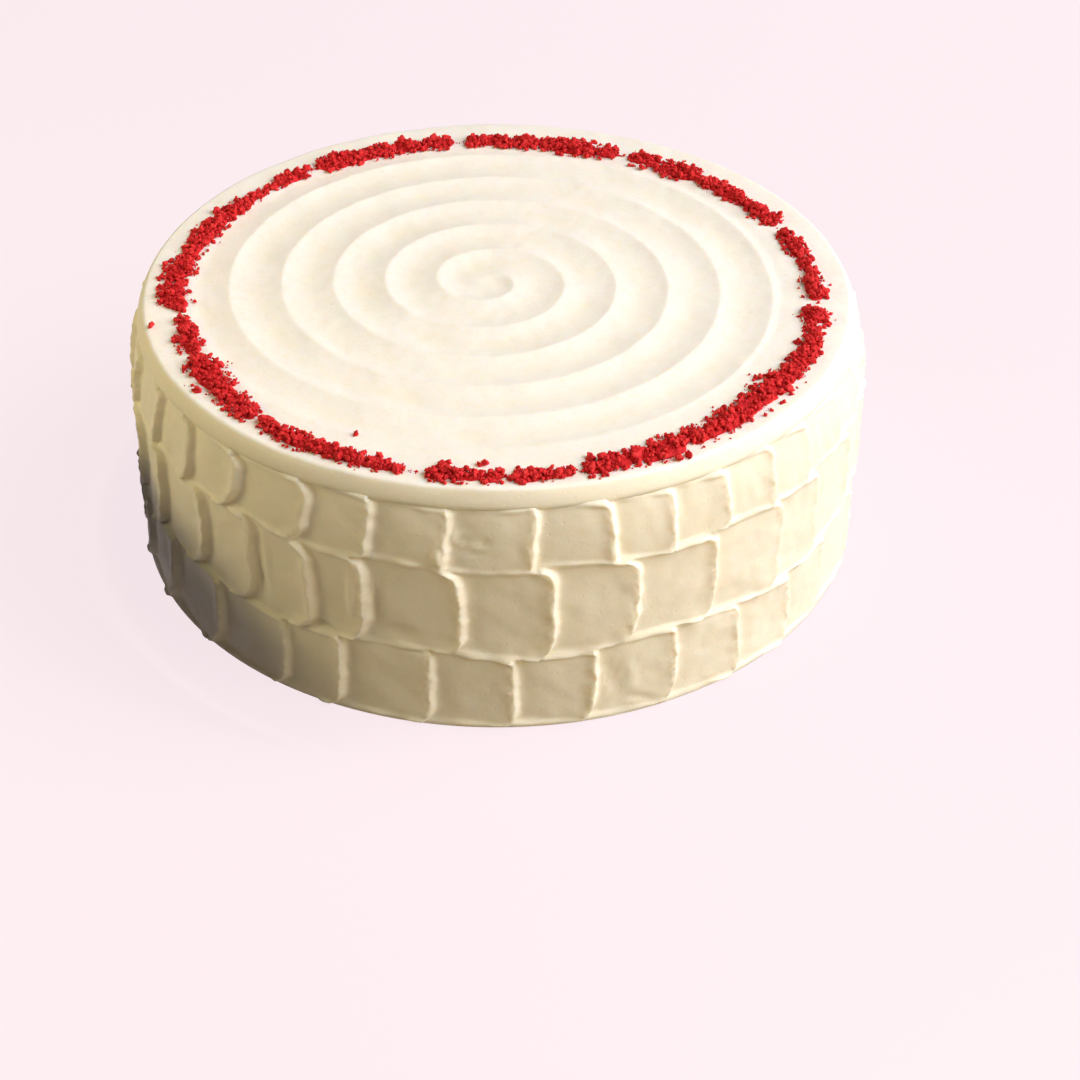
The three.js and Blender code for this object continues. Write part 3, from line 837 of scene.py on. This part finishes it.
def add_node(tree, kind, inputs=None, **settings):
    """A shader node with its settings and inputs, each input a value or another node's output."""
    node = tree.nodes.new(kind)
    for key, value in settings.items():
        setattr(node, key, value)
    for key, value in (inputs or {}).items():
        if isinstance(value, bpy.types.NodeSocket):
            tree.links.new(value, node.inputs[key])
        else:
            node.inputs[key].default_value = value
    return node


def new_material(name):
    material = bpy.data.materials.new(name)
    material.use_nodes = True
    tree = material.node_tree
    return material, tree, tree.nodes["Principled BSDF"]


def scaled(tree, source, factors):
    node = add_node(tree, "ShaderNodeVectorMath", {0: source, 1: factors}, operation="MULTIPLY")
    return node.outputs[0]


def noise(tree, place, scale, detail, roughness):
    inputs = {"Vector": place, "Scale": scale, "Detail": detail, "Roughness": roughness}
    return add_node(tree, "ShaderNodeTexNoise", inputs).outputs["Fac"]


def remap(tree, value, low, high, new_low=0.0, new_high=1.0):
    inputs = {"Value": value, "From Min": low, "From Max": high, "To Min": new_low, "To Max": new_high}
    return add_node(tree, "ShaderNodeMapRange", inputs).outputs[0]


def mix_colour(tree, share, first, second):
    node = add_node(tree, "ShaderNodeMix", data_type="RGBA")
    for socket, value in zip([node.inputs[0], node.inputs[6], node.inputs[7]], [share, first, second]):
        if isinstance(value, bpy.types.NodeSocket):
            tree.links.new(value, socket)
        else:
            socket.default_value = value
    return node.outputs[2]


def bump(tree, height, distance, strength, normal=None):
    inputs = {"Height": height, "Distance": distance, "Strength": strength}
    if normal is not None:
        inputs["Normal"] = normal
    return add_node(tree, "ShaderNodeBump", inputs).outputs[0]


# Span of a noise's values that is used; what lies beyond is held at its ends.
NOISE_SPAN = (0.3, 0.7)
# Noises are given as scale, detail and roughness, and bumps as distance in metres and strength.
ICING = {
    "top": (0.94, 0.885, 0.80, 1),
    # painted warm shade: the same icing in a warmer colour, laid over the whole side; top is the icing's
    # own colour
    "side": (0.935, 0.86, 0.705, 1),
    "blotches": (110.0, 5.0, 0.65),
    "blotch_span": (-0.2, 0.2),
    "speck": (0.9, 0.8, 0.6, 1),
    "specks": (620.0, 3.0, 0.7),
    "speck_span": (0.5, 0.72, 0.0, 0.5),
    "gloss": (160.0, 3.0, 0.55),
    "roughness": (0.5, 0.66),
    "streak_stretch": (0.2, 0.3, 0.6),
    "streaks": (1.0, 3.0, 0.55),
    "streak_bump": (0.0002, 0.35),
    "dimples": (260.0, 3.0, 0.6),
    "dimple_bump": (0.00015, 0.35),
    "grain": (1100.0, 4.0, 0.7),
    "grain_bump": (0.00009, 0.5),
    "pit_scale": 330.0,
    "pit_span": (0.05, 0.17),
    "pit_bump": (0.00008, 0.5),
    "scatter": {"weight": 0.35, "radius": (1.0, 0.62, 0.34), "scale": 0.0028},
    "specular": 0.5,
}
CRUMB = {
    "dark": (0.42, 0.005, 0.008, 1),
    "deep": (0.72, 0.012, 0.017, 1),
    "bright": (0.95, 0.06, 0.052, 1),
    "mottle": (900.0, 4.0, 0.65),
    "deep_span": (0.3, 0.62),
    "bright_span": (0.4, 0.7),
    "roughness": (0.9, 0.6),
    "pores": (3200.0, 3.0, 0.7),
    "pore_bump": (0.00018, 0.8),
    "scatter": {"weight": 0.12, "radius": (1.0, 0.1, 0.08), "scale": 0.0006},
    "specular": 0.3,
}
FLOOR = {
    "colour": (0.09, 0.082, 0.085, 1),
    "blotch": (0.1, 0.09, 0.093, 1),
    "blotches": (1.5, 2.0, 0.55),
    "glow": (0.88, 0.765, 0.8, 1),
    "roughness": 0.9,
    "specular": 0.1,
    "size": 8,
}
CARD_LEVEL = -1  # of the warm card under the floor, in mm
CARD_COLOUR = (0.48, 0.39, 0.2, 1)
FLAG_COLOUR = (0.01, 0.01, 0.01, 1)


def set_scatter(shader, scatter, specular):
    shader.inputs["Subsurface Weight"].default_value = scatter["weight"]
    shader.inputs["Subsurface Radius"].default_value = scatter["radius"]
    shader.inputs["Subsurface Scale"].default_value = scatter["scale"]
    shader.inputs["Specular IOR Level"].default_value = specular


def icing_material():
    material, tree, shader = new_material("icing")
    place = add_node(tree, "ShaderNodeTexCoord").outputs["Object"]
    stroke = add_node(tree, "ShaderNodeAttribute", attribute_name="stroke").outputs["Vector"]
    # Share of painted warm shade: 1 on the side, fading to 0 on the top, with random blotches of tone
    # added to it.
    painted_shade_share = add_node(tree, "ShaderNodeAttribute", attribute_name="side").outputs["Fac"]
    blotches = remap(tree, noise(tree, place, *ICING["blotches"]), *NOISE_SPAN, *ICING["blotch_span"])
    painted_shade_and_blotches = add_node(tree, "ShaderNodeMath", {0: painted_shade_share, 1: blotches}, operation="ADD").outputs[0]
    colour = mix_colour(tree, painted_shade_and_blotches, ICING["top"], ICING["side"])
    specks = remap(tree, noise(tree, place, *ICING["specks"]), *ICING["speck_span"])
    colour = mix_colour(tree, specks, colour, ICING["speck"])
    tree.links.new(colour, shader.inputs["Base Color"])
    roughness = remap(tree, noise(tree, place, *ICING["gloss"]), *NOISE_SPAN, *ICING["roughness"])
    tree.links.new(roughness, shader.inputs["Roughness"])

    streaks = noise(tree, scaled(tree, stroke, ICING["streak_stretch"]), *ICING["streaks"])
    dimples = noise(tree, place, *ICING["dimples"])
    grain = noise(tree, place, *ICING["grain"])
    pits = add_node(tree, "ShaderNodeTexVoronoi", {"Vector": place, "Scale": ICING["pit_scale"]})
    normal = bump(tree, streaks, *ICING["streak_bump"])
    normal = bump(tree, dimples, *ICING["dimple_bump"], normal)
    normal = bump(tree, grain, *ICING["grain_bump"], normal)
    pit_depth = remap(tree, pits.outputs["Distance"], *ICING["pit_span"])
    normal = bump(tree, pit_depth, *ICING["pit_bump"], normal)
    tree.links.new(normal, shader.inputs["Normal"])
    set_scatter(shader, ICING["scatter"], ICING["specular"])
    return material


def crumb_material():
    material, tree, shader = new_material("crumb")
    place = add_node(tree, "ShaderNodeTexCoord").outputs["Object"]
    tone = add_node(tree, "ShaderNodeAttribute", attribute_name="tone").outputs["Fac"]
    mottle = noise(tree, place, *CRUMB["mottle"])
    colour = mix_colour(tree, remap(tree, mottle, *CRUMB["deep_span"]), CRUMB["dark"], CRUMB["deep"])
    light_spots = remap(tree, mottle, *CRUMB["bright_span"])
    lighter = add_node(tree, "ShaderNodeMath", {0: tone, 1: light_spots}, operation="MULTIPLY")
    colour = mix_colour(tree, lighter.outputs[0], colour, CRUMB["bright"])
    tree.links.new(colour, shader.inputs["Base Color"])
    roughness = remap(tree, mottle, *NOISE_SPAN, *CRUMB["roughness"])
    tree.links.new(roughness, shader.inputs["Roughness"])
    normal = bump(tree, noise(tree, place, *CRUMB["pores"]), *CRUMB["pore_bump"])
    tree.links.new(normal, shader.inputs["Normal"])
    set_scatter(shader, CRUMB["scatter"], CRUMB["specular"])
    return material


def card_material(name, colour):
    material, _, shader = new_material(name)
    shader.inputs["Base Color"].default_value = colour
    shader.inputs["Roughness"].default_value = 1.0
    return material


def floor_material():
    material, tree, shader = new_material("floor")
    place = add_node(tree, "ShaderNodeTexCoord").outputs["Object"]
    shade = remap(tree, noise(tree, place, *FLOOR["blotches"]), *NOISE_SPAN)
    colour = mix_colour(tree, shade, FLOOR["colour"], FLOOR["blotch"])
    tree.links.new(colour, shader.inputs["Base Color"])
    shader.inputs["Roughness"].default_value = FLOOR["roughness"]
    shader.inputs["Specular IOR Level"].default_value = FLOOR["specular"]
    shader.inputs["Emission Color"].default_value = FLOOR["glow"]
    shader.inputs["Emission Strength"].default_value = 1.0
    return material


# ---- Floor, lights and camera ----

PHOTO_PIXELS = 1080
# Focal length in pixels, sensor and places in mm, and roll in degrees.
CAMERA = {
    "focal_pixels": 2209,
    "sensor": 36.0,
    "place": (0.0, -550.2, 399.6),
    "aim": (13.0, 0.0, -17.2),
    "roll": -0.707,
}
# Round soft lights: places in degrees, distances and sizes in metres, and power in watts.
LIGHTS = [
    {
        "name": "key",
        "azimuth": -6,
        "elevation": 39,
        "distance": 1.5,
        "size": 1.7,
        "power": 41,
        "colour": (0.98, 0.965, 1.0),
    },
    {
        "name": "front",
        "azimuth": -66,
        "elevation": 12,
        "distance": 0.3,
        "size": 0.22,
        "power": 0.118,
        "colour": (1.0, 0.79, 0.4),
    },
    {
        "name": "fill",
        "azimuth": -170,
        "elevation": 25,
        "distance": 0.45,
        "size": 0.3,
        "power": 0.7,
        "colour": (1.0, 0.85, 0.48),
    },
]
# Soft light from all round: its colour turns between these two heights of the direction.
WORLD = {
    "above": (1.0, 0.92, 0.84, 1),
    "level": (1.0, 0.87, 0.45, 1),
    "heights": (0.3, 0.95),
    "strength": 0.105,
}
# A black card that keeps light from the foot of the cake: its radius, and its height at these angles.
FLAG = {
    "radius": 124.0,
    "bottom": 3.0,
    "angles": [-215, -165, -140, -122, -110],
    "heights": [36, 46, 41, 17, 3],
    "columns": 40,
}


def make_plane(name, level, material):
    bpy.ops.mesh.primitive_plane_add(size=FLOOR["size"], location=(0, 0, level * MM))
    plane = bpy.context.object
    plane.name = name
    plane.data.materials.append(material)
    return plane


def make_floor():
    """The pale floor that shows, and a warm card just under it that throws light up at the cake."""
    floor = make_plane("floor", 0, floor_material())
    floor.visible_diffuse = False
    card = make_plane("bounce_card", CARD_LEVEL, card_material("bounce_card", CARD_COLOUR))
    card.visible_camera = False
    card.visible_glossy = False


def make_flag():
    """A curved black card beside the cake, out of the camera's sight."""
    angles = np.linspace(FLAG["angles"][0], FLAG["angles"][-1], FLAG["columns"])
    heights = np.interp(angles, FLAG["angles"], FLAG["heights"])
    lower = polar(FLAG["radius"], angles, FLAG["bottom"])
    points = np.concatenate([lower, polar(FLAG["radius"], angles, heights)])
    count = len(angles)
    faces = [(k, k + 1, count + k + 1, count + k) for k in range(count - 1)]
    mesh = bpy.data.meshes.new("flag")
    mesh.from_pydata((points * MM).tolist(), [], faces)
    mesh.materials.append(card_material("flag", FLAG_COLOUR))
    flag = bpy.data.objects.new("flag", mesh)
    bpy.context.scene.collection.objects.link(flag)
    flag.visible_camera = False
    flag.visible_glossy = False


def make_lights():
    target = Vector((0, 0, TOP_LEVEL / 2 * MM))
    for light in LIGHTS:
        data = bpy.data.lights.new(light["name"], "AREA")
        data.shape = "DISK"
        data.size = light["size"]
        data.energy = light["power"]
        data.color = light["colour"]
        lamp = bpy.data.objects.new(light["name"], data)
        bpy.context.scene.collection.objects.link(lamp)
        azimuth, elevation = math.radians(light["azimuth"]), math.radians(light["elevation"])
        level = math.cos(elevation)
        towards = Vector((math.cos(azimuth) * level, math.sin(azimuth) * level, math.sin(elevation)))
        lamp.location = target + towards * light["distance"]
        lamp.rotation_euler = towards.to_track_quat("Z", "Y").to_euler()


def make_world():
    world = bpy.data.worlds.new("studio")
    world.use_nodes = True
    tree = world.node_tree
    background = tree.nodes["Background"]
    direction = add_node(tree, "ShaderNodeTexCoord").outputs["Generated"]
    up = add_node(tree, "ShaderNodeSeparateXYZ", {0: direction}).outputs[2]
    share = remap(tree, up, *WORLD["heights"])
    colour = mix_colour(tree, share, WORLD["level"], WORLD["above"])
    tree.links.new(colour, background.inputs["Color"])
    background.inputs["Strength"].default_value = WORLD["strength"]
    bpy.context.scene.world = world


def make_camera():
    data = bpy.data.cameras.new("camera")
    data.sensor_width = CAMERA["sensor"]
    data.lens = CAMERA["sensor"] * CAMERA["focal_pixels"] / PHOTO_PIXELS
    camera = bpy.data.objects.new("camera", data)
    bpy.context.scene.collection.objects.link(camera)
    camera.location = Vector(CAMERA["place"]) * MM
    forward = (Vector(CAMERA["aim"]) - Vector(CAMERA["place"])).normalized()
    camera.rotation_mode = "QUATERNION"
    level = forward.to_track_quat("-Z", "Y")
    camera.rotation_quaternion = Quaternion(forward, math.radians(CAMERA["roll"])) @ level
    bpy.context.scene.camera = camera


# ---- The scene ----

icing = icing_material()
crumb = crumb_material()
make_side(icing)
make_top(icing)
make_bed(crumb)
for kind in CRUMBS:
    make_crumbs(kind, crumb)
make_floor()
make_flag()
make_lights()
make_world()
make_camera()
bpy.context.scene.view_settings.view_transform = "Standard"
